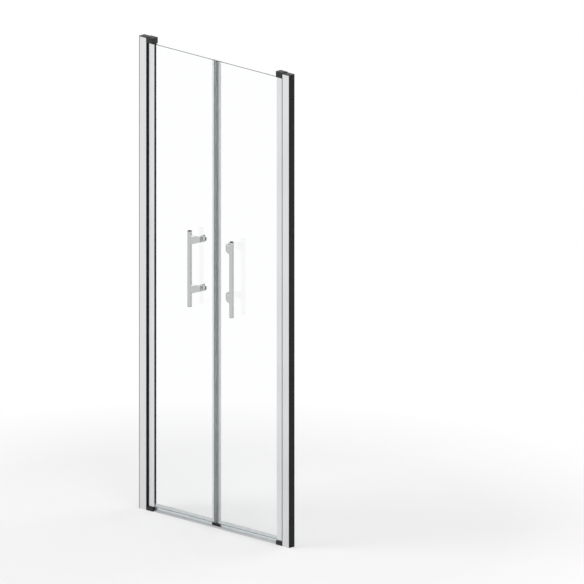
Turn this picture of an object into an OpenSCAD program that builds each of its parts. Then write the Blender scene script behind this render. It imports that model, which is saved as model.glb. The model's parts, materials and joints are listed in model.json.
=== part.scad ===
// Double pivot shower door for a niche: two glass leaves that swing in and out between two wall posts.
// Millimetres. Origin: middle of the door at floor level. X runs along the door, +Y into the shower,
// +Z up. Each piece is drawn once for the right-hand side, and the left-hand one is its mirror image.

/* [Door] */
// Overall width of the door, from wall to wall
door_w = 800; // [700:10:1000]
// Overall height of the door
door_h = 1850; // [1700:10:2100]
// Depth of the wall posts, from front to back
post_depth = 28; // [26:1:36]
// Width of a wall side, from the wall to the face that looks at the leaf
wall_side_w = 37; // [35:1:46]

/* [Wall fixing] */
// Thickness of the sealing tape against the wall
tape_t = 1.5; // [1:0.25:3]
// Wall thickness of the channel that is screwed to the wall
channel_wall = 2; // [1.5:0.25:2.5]
// Length of the channel's two flanges
channel_reach = 20; // [18:0.5:20]
// Wall thickness of the post
post_wall = 2; // [2:0.1:2.4]
// Clear width of the chamber behind the post's front wall
chamber_w = 11; // [9:0.5:12]
// Distance that the post can still move towards the wall
adjust_gap = 1; // [0.5:0.25:2]
// Thickness of the cap on top of a post
cap_t = 3; // [2:0.5:5]
// Length of the cap's leg inside the channel
cap_leg = 14; // [8:1:30]
// Radius of a wall screw hole
wall_hole_r = 2.75; // [2.25:0.25:3.5]
// Distance between the outer pair of wall screw holes
wall_hole_outer = 1650; // [1400:10:1660]
// Distance between the inner pair of wall screw holes
wall_hole_inner = 550; // [300:10:800]
// Distance between the outer clamp screws
clamp_span = 1400; // [1000:10:1500]

/* [Pivots] */
// Width of a pivot block, along the door
block_w = 37; // [34:1:44]
// Height of the lower pivot block
bottom_block_h = 15; // [12:1:24]
// Height of the upper pivot block
top_block_h = 23; // [16:1:30]
// Step down from the top of the upper pivot block to the post's cap
block_step = 2.5; // [1:0.5:4]
// Length of the block's tongue inside the post
tongue_len = 44; // [36:1:70]
// Radius of a pivot pin
pin_r = 3.5; // [3:0.25:4]
// Length of the pin inside the leaf
pin_reach = 24; // [18:1:30]
// Material left under a pin in its block
pin_floor = 3; // [2:0.5:5]
// Gap between a pivot block and the end of the leaf
end_gap = 1; // [0.6:0.1:2]

/* [Leaf] */
// Thickness of the pivot profile
profile_t = 15.5; // [15:0.25:18]
// Width of the pivot profile, along the leaf
profile_w = 33.6; // [33:0.2:36]
// Gap between the post and the pivot profile, which the post seal fills
profile_gap = 3; // [2.5:0.25:5]
// Thickness of the bearing flanges at the ends of the pivot profile
flange_t = 1.5; // [1:0.25:3]
// Length of a bearing's spigot inside the pivot profile
spigot_len = 30; // [28:1:40]
// Thickness of the glass
glass_t = 6; // [5:0.5:6]
// Depth to which the glass sits in the pivot profile
glass_bite = 12; // [9:0.5:12]
// Thickness of the glazing gasket beside the glass
gasket_t = 1.5; // [1:0.25:1.75]
// Thickness of the glazing gasket behind the glass edge
gasket_back = 2; // [1:0.5:2]

/* [Closing strips] */
// Place of the seam between the two closing strips, from the middle of the door
seam_x = 2.9; // [0:0.1:4]
// Gap between the two closing strips
seam_gap = 1; // [0.8:0.1:2]
// Distance from the middle of the door to the edge of each glass
glass_edge = 10.5; // [10.5:0.5:14]
// Distance from the middle of the door to the outer edge of each closing strip
strip_edge = 21.2; // [20:0.2:26]
// Thickness of a closing strip
strip_t = 10.4; // [9.6:0.2:12]
// Wall thickness of a closing strip
strip_wall = 1.2; // [1:0.1:1.2]
// Width of a magnet, along the door
magnet_w = 4; // [3:0.25:4]
// Height to which a strip's foot covers the strip above the lower edge of the leaf
foot_rise = 2; // [1:0.5:6]

/* [Foot of the door] */
// Height of the sill strip on the tray
sill_h = 6; // [4:0.5:8]
// Depth of the sill strip
sill_depth = 20; // [14:1:26]
// Gap between the sill strip and the lips of the drip seal
lip_gap = 0.8; // [0.5:0.1:1.5]
// Thickness of the drip seal's walls and lips
drip_wall = 1.5; // [1.2:0.1:1.8]
// Height to which the drip seal grips the glass
drip_grip = 12; // [8:1:20]

/* [Handles] */
// Radius of a handle bar
bar_r = 9; // [8:0.5:12]
// Wall thickness of a handle bar
bar_wall = 1.5; // [1:0.25:2.5]
// Overall length of a handle
bar_len = 300; // [260:5:500]
// Height of the handle's lower end above the floor
bar_bottom = 846; // [750:5:1000]
// Distance from the middle of the door to the bar
bar_x = 111.6; // [105:0.2:160]
// Distance from the face of the glass to the middle of the bar
bar_off = 30; // [28:1:45]
// Height of the rounded end of the bar
dome_h = 3; // [2:0.5:6]
// Distance along the door from a glass hole to the bar
arm_w = 40; // [38:1:50]
// Thickness of a handle arm
arm_t = 8; // [7:0.5:10]
// Distance between the two glass holes of a handle
hole_pitch = 192; // [128:1:200]
// Distance from the top of the handle to its upper glass hole
hole_drop = 30; // [30:1:50]
// Distance that an arm reaches down below its glass hole, at the bar
arm_drop = 26; // [18:1:32]
// Radius of the round foot of a handle arm and of the rosette inside
foot_r = 13; // [11:0.5:16]
// Thickness of the round foot of a handle arm
foot_t = 4; // [3:0.5:6]
// Thickness of the rosette on the inside of the glass
rosette_t = 7; // [6:0.5:12]
// Radius of a glass hole
hole_r = 5; // [4.5:0.5:6]
// Thickness of the soft washer between metal and glass
washer_t = 0.6; // [0.4:0.1:1]
// Radius of the shank of a handle screw
handle_screw_r = 2.5; // [2:0.25:2.75]

/* [Fits] */
// Clearance between pieces that slide into each other
slide_fit = 0.2; // [0.1:0.05:0.3]
// Clearance around the glass and the small inserts
snug_fit = 0.1; // [0.05:0.05:0.2]
// Clearance around a pivot pin, on the radius
pin_fit = 0.05; // [0.02:0.01:0.1]

/* [Hidden] */
$fn = 64;
LEFT = -1;
RIGHT = 1;
EDGE = 0.01;

half_w = door_w / 2;
half_depth = post_depth / 2;

// Wall side
tape_x = half_w - tape_t;
post_x = half_w - wall_side_w;
cap_top = door_h - block_step;
post_top = cap_top - cap_t;
post_round = 1.2;
web_x = post_x + post_wall + chamber_w;
post_end = tape_x - adjust_gap;
inner_half = half_depth - post_wall;
flange_half = inner_half - slide_fit;
channel_inner = flange_half - channel_wall;
flange_x = tape_x - channel_reach;
clamp_x = (web_x + post_wall + tape_x) / 2;
clamp_r = 2;
clamp_slot = 12;
nut_w = 7;
nut_t = 3;
middle_z = door_h / 2;
clamp_zs = [middle_z - clamp_span / 2, middle_z, middle_z + clamp_span / 2];
wall_hole_zs = [
    for (pitch = [wall_hole_outer, wall_hole_inner], end = [-1, 1]) middle_z + end * pitch / 2
];

// Pivots
profile_r = profile_t / 2;
pivot_x = post_x - profile_gap - profile_r;
block_x = post_x - block_w;
block_half = half_depth;
block_round = 4;
top_block_z = door_h - top_block_h;
neck_half = 9;
tongue_x = post_x + post_wall + slide_fit;
tongue_w = chamber_w - 2 * slide_fit;
tongue_half = inner_half - slide_fit;
block_screw_pitch = 16;
block_screw_r = 2;
block_screw_inset = 12;
block_screw_x = tongue_x + tongue_w / 2;
bottom_screw_z = bottom_block_h + tongue_len - block_screw_inset;
top_screw_z = top_block_z - tongue_len + block_screw_inset;
bottom_screw_zs = [bottom_screw_z - block_screw_pitch, bottom_screw_z];
top_screw_zs = [top_screw_z, top_screw_z + block_screw_pitch];
block_screw_zs = concat(bottom_screw_zs, top_screw_zs);
screw_len = 14;

// Leaf
leaf_bottom = bottom_block_h + end_gap;
leaf_top = top_block_z - end_gap;
glass_bottom = leaf_bottom + flange_t;
glass_top = leaf_top - flange_t;
profile_x = pivot_x + profile_r - profile_w;
port_r = profile_r - 2.25;
spigot_r = port_r - snug_fit;
bore_r = pin_r + pin_fit;
glass_half = glass_t / 2;
glass_x = profile_x + glass_bite;
slot_half = glass_half + gasket_t;
slot_x = glass_x + gasket_back;
relief_wall = 2;
relief_x = slot_x + relief_wall;
relief_w = pivot_x - port_r - relief_wall - relief_x;
washer_r = profile_r - 0.75;
bearing_gap = 0.1;
pin_chamfer = 0.6;

// Post seal
seal_half = half_depth - 2;
seal_base = 0.9;
seal_barb = 3;
seal_barb_half = 2;
seal_clear = 0.3;
seal_lip_half = 4.5;

// Foot of the door
lip_z = sill_h + lip_gap;
corner_reach = norm([pivot_x - block_x, block_half]);
lip_end = pivot_x - corner_reach - 1;
drip_half = glass_half + snug_fit + drip_wall;
strip_half = strip_t / 2;
strip_z = leaf_bottom + foot_rise;
strip_end = glass_edge - strip_wall;
foot_pin_len = 6;

// Handles
face_y = -glass_half;
bar_y = face_y - bar_off;
bar_top = bar_bottom + bar_len;
hole_x = bar_x - arm_w;
hole_zs = [bar_top - hole_drop - hole_pitch, bar_top - hole_drop];
foot_y = face_y - washer_t;
arm_r = bar_off - washer_t - foot_t + 1;
arm_round = foot_r - 1;
turn_x = hole_x + arm_r - arm_t / 2 + 3;
turn_y = bar_y + arm_r;
tenon_r = 4;
tenon_in = bar_wall + 2;
plug_len = 12;
rosette_y = glass_half + washer_t;
head_r = 4.5;
head_t = 3.5;
seat_t = rosette_t - head_t;
handle_screw_len = seat_t + 2 * washer_t + glass_t + foot_t + 4;
thread_len = handle_screw_len - seat_t - 2 * washer_t - glass_t + 1;

// Colours
BRIGHT = [0.86, 0.87, 0.88];
STEEL = [0.72, 0.73, 0.75];
BLACK = [0.08, 0.08, 0.09];
GLASS = [0.80, 0.90, 0.90, 0.35];
CLEAR = [0.88, 0.91, 0.92, 0.6];
MAGNET = [0.25, 0.25, 0.27];

// Turns a piece drawn for the right-hand side into the one for the side asked for.
module on_side(side) {
    mirror([side == LEFT ? 1 : 0, 0, 0]) children();
}

// A section drawn in plan, raised from one height to another.
module raise(from, to) {
    translate([0, 0, from]) linear_extrude(to - from) children();
}

// A rectangle in plan between two places along the door, centred on the leaf's plane.
module band(from, to, half) {
    translate([from, -half]) square([to - from, 2 * half]);
}

// The same rectangle with its two inner corners rounded.
module round_nosed_band(from, to, half, r) {
    band(from + r, to, half);
    band(from, from + r + EDGE, half - r);
    for (y = [-1, 1]) translate([from + r, y * (half - r)]) circle(r);
}

// Countersunk screw with a hexagon socket: the head's top is at the origin and the shank runs down.
module countersunk_screw(r, len) {
    difference() {
        union() {
            translate([0, 0, -1.8]) cylinder(h = 1.8, r1 = r, r2 = r + 1.8);
            translate([0, 0, -len]) cylinder(h = len - 1, r = r);
        }
        translate([0, 0, -1.2]) cylinder(h = 2, r = r * 0.62, $fn = 6);
    }
}

// The hole that this screw needs in the wall of a profile.
module countersunk_hole(r, len) {
    translate([0, 0, -1.8]) cylinder(h = 1.8 + EDGE, r1 = r + snug_fit, r2 = r + 1.8 + snug_fit);
    translate([0, 0, -len]) cylinder(h = len, r = r + snug_fit);
}

// Places children on the inner face of a post, looking outwards from it, at one height.
module on_inner_face(x, z) {
    translate([x, half_depth, z]) rotate([-90, 0, 0]) children();
}

module sill_strip() {
    color(BRIGHT) rotate([90, 0, 90]) translate([0, 0, -block_x]) linear_extrude(2 * block_x)
        polygon([
            [-sill_depth / 2, 0], [sill_depth / 2, 0], [sill_depth / 2, sill_h / 3],
            [sill_depth / 4, sill_h], [-sill_depth / 4, sill_h], [-sill_depth / 2, sill_h / 3]
        ]);
}

module wall_tape(side) {
    color(BLACK) on_side(side) difference() {
        raise(0, post_top) band(tape_x, half_w, half_depth);
        for (z = wall_hole_zs)
            translate([tape_x - EDGE, 0, z]) rotate([0, 90, 0])
                cylinder(h = tape_t + 2 * EDGE, r = wall_hole_r + 2 * slide_fit);
    }
}

// U channel, open towards the door. Round holes in its web take the wall screws, and slots in its
// inner flange let the clamp screws move along the door.
module wall_channel(side) {
    color(BRIGHT) on_side(side) difference() {
        raise(0, post_top) difference() {
            band(flange_x, tape_x, flange_half);
            band(flange_x - EDGE, tape_x - channel_wall, channel_inner);
        }
        for (z = wall_hole_zs)
            translate([tape_x - channel_wall - EDGE, 0, z]) rotate([0, 90, 0])
                cylinder(h = channel_wall + 2 * EDGE, r = wall_hole_r);
        for (z = clamp_zs)
            translate([clamp_x - clamp_slot / 2, channel_inner - EDGE, z - clamp_r - slide_fit])
                cube([clamp_slot, channel_wall + 2 * EDGE, 2 * (clamp_r + slide_fit)]);
    }
}

// Extruded post: a closed chamber behind the front wall and two long arms that slide over the channel.
module post(side) {
    color(BRIGHT) on_side(side) difference() {
        raise(0, post_top) difference() {
            round_nosed_band(post_x, post_end, half_depth, post_round);
            band(post_x + post_wall, web_x, inner_half);
            band(web_x + post_wall, post_end + EDGE, inner_half);
            band(post_x - EDGE, post_x + post_wall + EDGE, seal_barb_half + snug_fit);
        }
        translate([post_x - EDGE, -neck_half - slide_fit, -EDGE])
            cube([post_wall + 2 * EDGE, 2 * (neck_half + slide_fit), bottom_block_h + EDGE]);
        translate([post_x - EDGE, -neck_half - slide_fit, top_block_z])
            cube([post_wall + 2 * EDGE, 2 * (neck_half + slide_fit), door_h - top_block_z]);
        for (z = clamp_zs)
            on_inner_face(clamp_x, z) countersunk_hole(clamp_r, post_wall + EDGE);
        for (z = block_screw_zs)
            on_inner_face(block_screw_x, z) countersunk_hole(block_screw_r, post_wall + EDGE);
    }
}

module clamp_screws(side) {
    color(STEEL) on_side(side) for (z = clamp_zs) on_inner_face(clamp_x, z)
        countersunk_screw(clamp_r, screw_len);
}

module clamp_nuts(side) {
    color(STEEL) on_side(side) for (z = clamp_zs) difference() {
        translate([clamp_x - nut_w / 2, channel_inner - nut_t, z - nut_w / 2]) cube([nut_w, nut_t, nut_w]);
        on_inner_face(clamp_x, z) translate([0, 0, -half_depth])
            cylinder(h = half_depth, r = clamp_r + pin_fit);
    }
}

module post_cap(side) {
    color(BLACK) on_side(side) {
        raise(post_top, cap_top) round_nosed_band(post_x, half_w, half_depth, post_round);
        raise(post_top - cap_leg, post_top + EDGE)
            band(flange_x + slide_fit, tape_x - channel_wall - slide_fit, channel_inner - slide_fit);
    }
}

// Plan of a pivot block: rounded inner corners, square against the post.
module block_plan() {
    round_nosed_band(block_x, post_x, block_half, block_round);
}

// The neck and the tongue that hold a block in the post, with the holes of its screws.
module block_tongue(neck_from, neck_to, from, to, screw_zs) {
    difference() {
        union() {
            raise(neck_from, neck_to) band(post_x - EDGE, tongue_x + EDGE, neck_half);
            raise(from, to) band(tongue_x, tongue_x + tongue_w, tongue_half);
        }
        for (z = screw_zs) on_inner_face(block_screw_x, z)
            translate([0, 0, -screw_len - 1]) cylinder(h = screw_len, r = block_screw_r + pin_fit);
    }
}

module top_block(side) {
    color(BLACK) on_side(side) difference() {
        union() {
            raise(top_block_z, door_h) block_plan();
            block_tongue(top_block_z + slide_fit, post_top, top_block_z - tongue_len, post_top,
                top_screw_zs);
        }
        translate([pivot_x, 0, top_block_z - EDGE])
            cylinder(h = top_block_h - pin_floor + EDGE, r = bore_r);
    }
}

module bottom_block(side) {
    color(BLACK) on_side(side) difference() {
        union() {
            raise(0, bottom_block_h) block_plan();
            block_tongue(0, bottom_block_h - slide_fit, 0, bottom_block_h + tongue_len,
                bottom_screw_zs);
        }
        translate([pivot_x, 0, pin_floor]) cylinder(h = bottom_block_h, r = bore_r);
    }
}

module block_screws(side) {
    color(STEEL) on_side(side) for (z = block_screw_zs) on_inner_face(block_screw_x, z)
        countersunk_screw(block_screw_r, screw_len);
}

// Steel pin with a chamfer at both ends, from one height to another on the pivot axis.
module pivot_pin(from, to) {
    translate([pivot_x, 0, from]) {
        cylinder(h = pin_chamfer, r1 = pin_r - pin_chamfer, r2 = pin_r);
        translate([0, 0, pin_chamfer]) cylinder(h = to - from - 2 * pin_chamfer, r = pin_r);
        translate([0, 0, to - from - pin_chamfer])
            cylinder(h = pin_chamfer, r1 = pin_r, r2 = pin_r - pin_chamfer);
    }
}

module top_pin(side) {
    color(STEEL) on_side(side) pivot_pin(leaf_top - pin_reach, door_h - pin_floor);
}

module bottom_pin(side) {
    color(STEEL) on_side(side) pivot_pin(pin_floor, leaf_bottom + pin_reach);
}

// The slippery washer on the lower block that carries the leaf.
module thrust_washer(side) {
    color(BLACK) on_side(side) translate([pivot_x, 0, bottom_block_h]) difference() {
        cylinder(h = end_gap - bearing_gap, r = washer_r);
        translate([0, 0, -EDGE]) cylinder(h = end_gap, r = bore_r);
    }
}

// Soft seal pushed into the groove of the post: a flat base, a barb and a lip that follows the
// round back of the pivot profile.
module post_seal(side) {
    color(BLACK) on_side(side) {
        raise(bottom_block_h, top_block_z) {
            band(post_x - seal_base, post_x, seal_half);
            round_nosed_band(post_x - profile_gap + seal_clear, post_x, seal_lip_half, 1);
        }
        raise(bottom_block_h + tongue_len + 1, top_block_z - tongue_len - 1)
            band(post_x - EDGE, post_x + seal_barb, seal_barb_half);
    }
}

// Plan of the pivot profile's outline: flat sides and a round back on the pivot axis.
module profile_outline() {
    round_nosed_band(profile_x, pivot_x, profile_r, 1);
    translate([pivot_x, 0]) circle(profile_r);
}

module pivot_profile(side) {
    color(BRIGHT) on_side(side) raise(glass_bottom, glass_top) difference() {
        profile_outline();
        band(profile_x - EDGE, slot_x, slot_half);
        band(relief_x, relief_x + relief_w, slot_half);
        translate([pivot_x, 0]) circle(port_r);
    }
}

// Bearing at one end of the pivot profile, drawn for the lower end with its flange at height zero.
module bearing() {
    difference() {
        union() {
            raise(0, flange_t) profile_outline();
            raise(flange_t - EDGE, flange_t + spigot_len) translate([pivot_x, 0]) circle(spigot_r);
        }
        translate([pivot_x, 0, -EDGE]) cylinder(h = pin_reach + 2, r = bore_r);
    }
}

module top_bearing(side) {
    color(BLACK) on_side(side) translate([0, 0, leaf_top]) mirror([0, 0, 1]) bearing();
}

module bottom_bearing(side) {
    color(BLACK) on_side(side) translate([0, 0, leaf_bottom]) bearing();
}

// U-shaped gasket between the pivot profile and the edge of the glass.
module glazing_gasket(side) {
    color(BLACK) on_side(side) raise(glass_bottom, glass_top) difference() {
        band(profile_x, slot_x, slot_half);
        band(profile_x - EDGE, glass_x, glass_half);
    }
}

module glass(side) {
    color(GLASS) on_side(side) difference() {
        raise(glass_bottom, glass_top) band(glass_edge, glass_x, glass_half);
        for (z = hole_zs) translate([hole_x, 0, z]) rotate([90, 0, 0])
            cylinder(h = 2 * glass_t, r = hole_r, center = true);
    }
}

// The place where a strip ends at the seam, measured from the middle of the door to its own side.
function strip_tip(side) = side * seam_x + seam_gap / 2;

// Where the magnet's chamber ends, measured the same way.
function chamber_end(side) = strip_tip(side) + strip_wall + magnet_w + 2 * snug_fit;

// Plan of the chambers in a closing strip's head, drawn smaller by a gap: one for the magnet next to
// the seam and, where the head is long enough, a second one that stays empty.
module chamber_plan(side, gap) {
    chamber_half = strip_half - strip_wall - gap;
    second = chamber_end(side) + strip_wall;
    band(strip_tip(side) + strip_wall + gap, chamber_end(side) - gap, chamber_half);
    if (strip_end - second > 2 * strip_wall) band(second + gap, strip_end - gap, chamber_half);
}

// Closing strip: its open side grips the edge of the glass.
module closing_strip(side) {
    color(CLEAR) on_side(side) raise(strip_z, glass_top) difference() {
        round_nosed_band(strip_tip(side), strip_edge, strip_half, strip_wall);
        band(glass_edge, strip_edge + EDGE, glass_half + snug_fit);
        chamber_plan(side, 0);
    }
}

module magnet(side) {
    from = strip_tip(side) + strip_wall + snug_fit;
    color(MAGNET) on_side(side) raise(strip_z + foot_pin_len + 1, glass_top - 1)
        band(from, from + magnet_w, strip_half - strip_wall - snug_fit);
}

// Foot that closes the gap under a closing strip, with short pins into the strip's chambers. Above
// the lower edge of the glass it goes round the glass as the strip does.
module strip_foot(side) {
    color(BLACK) on_side(side) {
        raise(lip_z, strip_z) difference() {
            round_nosed_band(strip_tip(side), strip_edge, strip_half, strip_wall);
            band(glass_edge - snug_fit, strip_edge + EDGE, glass_half + snug_fit);
        }
        raise(lip_z, glass_bottom - snug_fit) band(strip_end, strip_edge, glass_half + 2 * snug_fit);
        raise(strip_z - EDGE, strip_z + foot_pin_len) chamber_plan(side, snug_fit);
    }
}

// Drip seal on the lower edge of the glass. Its two lips stop short of the pivot block's corner.
module drip_seal(side) {
    inner_half_t = glass_half + snug_fit;
    color(CLEAR) on_side(side) {
        rotate([90, 0, 90]) translate([0, 0, strip_edge + slide_fit])
            linear_extrude(profile_x - strip_edge - 2 * slide_fit) difference() {
                translate([-drip_half, leaf_bottom]) square([2 * drip_half, flange_t + drip_grip]);
                translate([-inner_half_t, glass_bottom]) square([2 * inner_half_t, drip_grip + 1]);
            }
        rotate([90, 0, 90]) translate([0, 0, strip_edge + slide_fit])
            linear_extrude(lip_end - strip_edge - slide_fit) for (y = [-1, 1])
                polygon([
                    [y * 0.6, leaf_bottom + EDGE], [y * (0.6 + drip_wall), leaf_bottom + EDGE],
                    [y * (2.4 + drip_wall), lip_z], [y * 2.4, lip_z]
                ]);
    }
}

module handle_bar(side) {
    color(BRIGHT) on_side(side) difference() {
        raise(bar_bottom + dome_h, bar_top - dome_h) translate([bar_x, bar_y]) difference() {
            circle(bar_r);
            circle(bar_r - bar_wall);
        }
        for (z = hole_zs) translate([bar_x, bar_y, z]) rotate([0, -90, 0])
            cylinder(h = 2 * bar_r, r = tenon_r + pin_fit);
    }
}

// Plug for the upper end of the bar, its shoulder at height zero: a spigot below and a dome above.
module bar_plug() {
    translate([0, 0, -plug_len]) cylinder(h = plug_len, r = bar_r - bar_wall - snug_fit);
    dome_r = (bar_r * bar_r + dome_h * dome_h) / (2 * dome_h);
    intersection() {
        translate([0, 0, dome_h - dome_r]) sphere(dome_r, $fn = 96);
        cylinder(h = dome_h + 1, r = bar_r);
    }
}

module handle_plugs(side) {
    color(BLACK) on_side(side) translate([bar_x, bar_y, 0]) {
        translate([0, 0, bar_top - dome_h]) bar_plug();
        translate([0, 0, bar_bottom + dome_h]) mirror([0, 0, 1]) bar_plug();
    }
}

// Plan of a handle arm, from its foot on the glass in a quarter turn to the side of the bar.
module arm_plan() {
    difference() {
        union() {
            difference() {
                translate([turn_x, turn_y]) circle(arm_r + arm_t / 2);
                translate([turn_x, turn_y]) circle(arm_r - arm_t / 2);
                translate([turn_x, turn_y - 2 * arm_r]) square(4 * arm_r);
                translate([turn_x - 2 * arm_r, turn_y]) square(4 * arm_r);
            }
            translate([turn_x, bar_y - arm_t / 2]) square([bar_x - turn_x, arm_t]);
        }
        translate([bar_x, bar_y]) circle(bar_r + pin_fit);
    }
}

// Front view of a handle arm: round at the foot, straight on top, and deeper towards the bar. Its
// straight edges start a little inside the round one, which keeps the joints between them clean.
module arm_front() {
    inside = 0.99 * arm_round;
    end = [bar_x - hole_x, -arm_drop];
    touch = atan2(end.y, end.x) - acos(inside / norm(end));
    circle(arm_round);
    polygon([[0, inside], [end.x, inside], end, inside * [cos(touch), sin(touch)], [0, 0]]);
}

// One arm of a handle, at the height of its glass hole.
module handle_arm(z) {
    difference() {
        union() {
            intersection() {
                raise(z - arm_drop - 1, z + foot_r) arm_plan();
                translate([hole_x, foot_y - 1, z]) rotate([90, 0, 0]) linear_extrude(2 * bar_off) arm_front();
            }
            translate([hole_x, foot_y, z]) rotate([90, 0, 0]) cylinder(h = foot_t, r = foot_r);
            translate([bar_x - bar_r + tenon_in, bar_y, z]) rotate([0, -90, 0])
                cylinder(h = tenon_in + 4, r = tenon_r);
        }
        translate([hole_x, foot_y + EDGE, z]) rotate([90, 0, 0])
            cylinder(h = thread_len + EDGE, r = handle_screw_r + pin_fit);
    }
}

module upper_arm(side) {
    color(BRIGHT) on_side(side) handle_arm(hole_zs[1]);
}

module lower_arm(side) {
    color(BRIGHT) on_side(side) handle_arm(hole_zs[0]);
}

// Screws from the inside, through rosette, bush and glass into the arms.
module handle_screws(side) {
    color(STEEL) on_side(side) for (z = hole_zs)
        translate([hole_x, rosette_y + seat_t, z]) rotate([-90, 0, 0]) difference() {
            union() {
                cylinder(h = head_t - 0.5, r = head_r);
                translate([0, 0, -handle_screw_len])
                    cylinder(h = handle_screw_len + EDGE, r = handle_screw_r);
            }
            translate([0, 0, 1]) cylinder(h = head_t, r = handle_screw_r * 0.8, $fn = 6);
        }
}

module rosettes(side) {
    color(BRIGHT) on_side(side) for (z = hole_zs) translate([hole_x, rosette_y, z]) rotate([-90, 0, 0])
        difference() {
            union() {
                cylinder(h = rosette_t - 1, r = foot_r);
                translate([0, 0, rosette_t - 1 - EDGE]) cylinder(h = 1 + EDGE, r1 = foot_r, r2 = foot_r - 1);
            }
            translate([0, 0, -EDGE]) cylinder(h = rosette_t, r = handle_screw_r + slide_fit);
            translate([0, 0, seat_t]) cylinder(h = rosette_t, r = head_r + slide_fit);
        }
}

// Two soft half bushes in each glass hole, each with a thin flange on its own face of the glass.
module hole_bushes(side) {
    color(CLEAR) on_side(side) for (z = hole_zs, face = [-1, 1]) translate([hole_x, 0, z])
        rotate([face * -90, 0, 0]) difference() {
            union() {
                translate([0, 0, snug_fit]) cylinder(h = glass_half, r = hole_r - snug_fit);
                translate([0, 0, glass_half]) cylinder(h = washer_t, r = foot_r - 1);
            }
            cylinder(h = 2 * glass_t, r = handle_screw_r + slide_fit);
        }
}

sill_strip();
wall_tape(LEFT);  // left_wall_tape
wall_tape(RIGHT);  // right_wall_tape
wall_channel(LEFT);  // left_wall_channel
wall_channel(RIGHT);  // right_wall_channel
post(LEFT);  // left_post
post(RIGHT);  // right_post
clamp_screws(LEFT);  // left_clamp_screws
clamp_screws(RIGHT);  // right_clamp_screws
clamp_nuts(LEFT);  // left_clamp_nuts
clamp_nuts(RIGHT);  // right_clamp_nuts
post_cap(LEFT);  // left_post_cap
post_cap(RIGHT);  // right_post_cap
top_block(LEFT);  // left_top_block
top_block(RIGHT);  // right_top_block
bottom_block(LEFT);  // left_bottom_block
bottom_block(RIGHT);  // right_bottom_block
block_screws(LEFT);  // left_block_screws
block_screws(RIGHT);  // right_block_screws
top_pin(LEFT);  // left_top_pin
top_pin(RIGHT);  // right_top_pin
bottom_pin(LEFT);  // left_bottom_pin
bottom_pin(RIGHT);  // right_bottom_pin
thrust_washer(LEFT);  // left_thrust_washer
thrust_washer(RIGHT);  // right_thrust_washer
post_seal(LEFT);  // left_post_seal
post_seal(RIGHT);  // right_post_seal
pivot_profile(LEFT);  // left_pivot_profile
pivot_profile(RIGHT);  // right_pivot_profile
top_bearing(LEFT);  // left_top_bearing
top_bearing(RIGHT);  // right_top_bearing
bottom_bearing(LEFT);  // left_bottom_bearing
bottom_bearing(RIGHT);  // right_bottom_bearing
glazing_gasket(LEFT);  // left_glazing_gasket
glazing_gasket(RIGHT);  // right_glazing_gasket
glass(LEFT);  // left_glass
glass(RIGHT);  // right_glass
closing_strip(LEFT);  // left_closing_strip
closing_strip(RIGHT);  // right_closing_strip
magnet(LEFT);  // left_magnet
magnet(RIGHT);  // right_magnet
strip_foot(LEFT);  // left_strip_foot
strip_foot(RIGHT);  // right_strip_foot
drip_seal(LEFT);  // left_drip_seal
drip_seal(RIGHT);  // right_drip_seal
handle_bar(LEFT);  // left_handle_bar
handle_bar(RIGHT);  // right_handle_bar
handle_plugs(LEFT);  // left_handle_plugs
handle_plugs(RIGHT);  // right_handle_plugs
upper_arm(LEFT);  // left_upper_arm
upper_arm(RIGHT);  // right_upper_arm
lower_arm(LEFT);  // left_lower_arm
lower_arm(RIGHT);  // right_lower_arm
handle_screws(LEFT);  // left_handle_screws
handle_screws(RIGHT);  // right_handle_screws
rosettes(LEFT);  // left_rosettes
rosettes(RIGHT);  // right_rosettes
hole_bushes(LEFT);  // left_hole_bushes
hole_bushes(RIGHT);  // right_hole_bushes
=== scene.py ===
"""Double pivot shower door: the finished pieces, their finishes, the camera and the studio, round the
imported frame. Metres, +Z up, the origin in the middle of the door at floor level, +Y into the shower."""

import json
import math

import bmesh
import bpy
import numpy as np
from bpy.props import FloatProperty, FloatVectorProperty, PointerProperty
from bpy.types import Operator, Panel, PropertyGroup
from mathutils import Matrix, Vector
from mathutils.geometry import tessellate_polygon


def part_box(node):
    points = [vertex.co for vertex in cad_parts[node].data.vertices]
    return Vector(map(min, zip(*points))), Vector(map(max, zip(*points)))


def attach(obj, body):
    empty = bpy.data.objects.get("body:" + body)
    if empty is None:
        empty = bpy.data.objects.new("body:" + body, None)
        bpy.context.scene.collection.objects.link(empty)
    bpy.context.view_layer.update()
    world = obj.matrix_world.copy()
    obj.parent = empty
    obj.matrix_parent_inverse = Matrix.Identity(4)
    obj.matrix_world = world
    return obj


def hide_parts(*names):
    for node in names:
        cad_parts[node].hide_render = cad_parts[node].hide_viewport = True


bl_info = {
    "name": "Double pivot shower door",
    "version": (1, 0, 0),
    "blender": (4, 5, 0),
    "location": "View3D > Sidebar > Shower door",
    "description": "Glass, profiles, seals and handles of a shower door with two swinging leaves",
    "category": "Object",
}

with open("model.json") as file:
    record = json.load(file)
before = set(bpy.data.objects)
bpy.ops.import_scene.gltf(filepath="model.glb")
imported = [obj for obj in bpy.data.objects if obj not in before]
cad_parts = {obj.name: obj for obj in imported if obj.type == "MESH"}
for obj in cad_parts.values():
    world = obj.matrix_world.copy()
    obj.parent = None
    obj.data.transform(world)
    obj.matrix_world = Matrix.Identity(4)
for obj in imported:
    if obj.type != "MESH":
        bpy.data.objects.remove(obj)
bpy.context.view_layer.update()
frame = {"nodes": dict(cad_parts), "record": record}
SIDES = {"left": -1.0, "right": 1.0}
TINY = 1e-6     # points closer than this are one point
CREASE = 34.0   # degrees: edges sharper than this stay sharp, where a piece has no angle of its own
FIT = 0.0002    # play between a moulded piece and what it stands in, and the lap of its shells
INSET = 0.0022  # wall of a post or channel with that play, in front of a piece inside
BEVEL = 0.0003  # radius of an edge or corner that is only just broken


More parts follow.
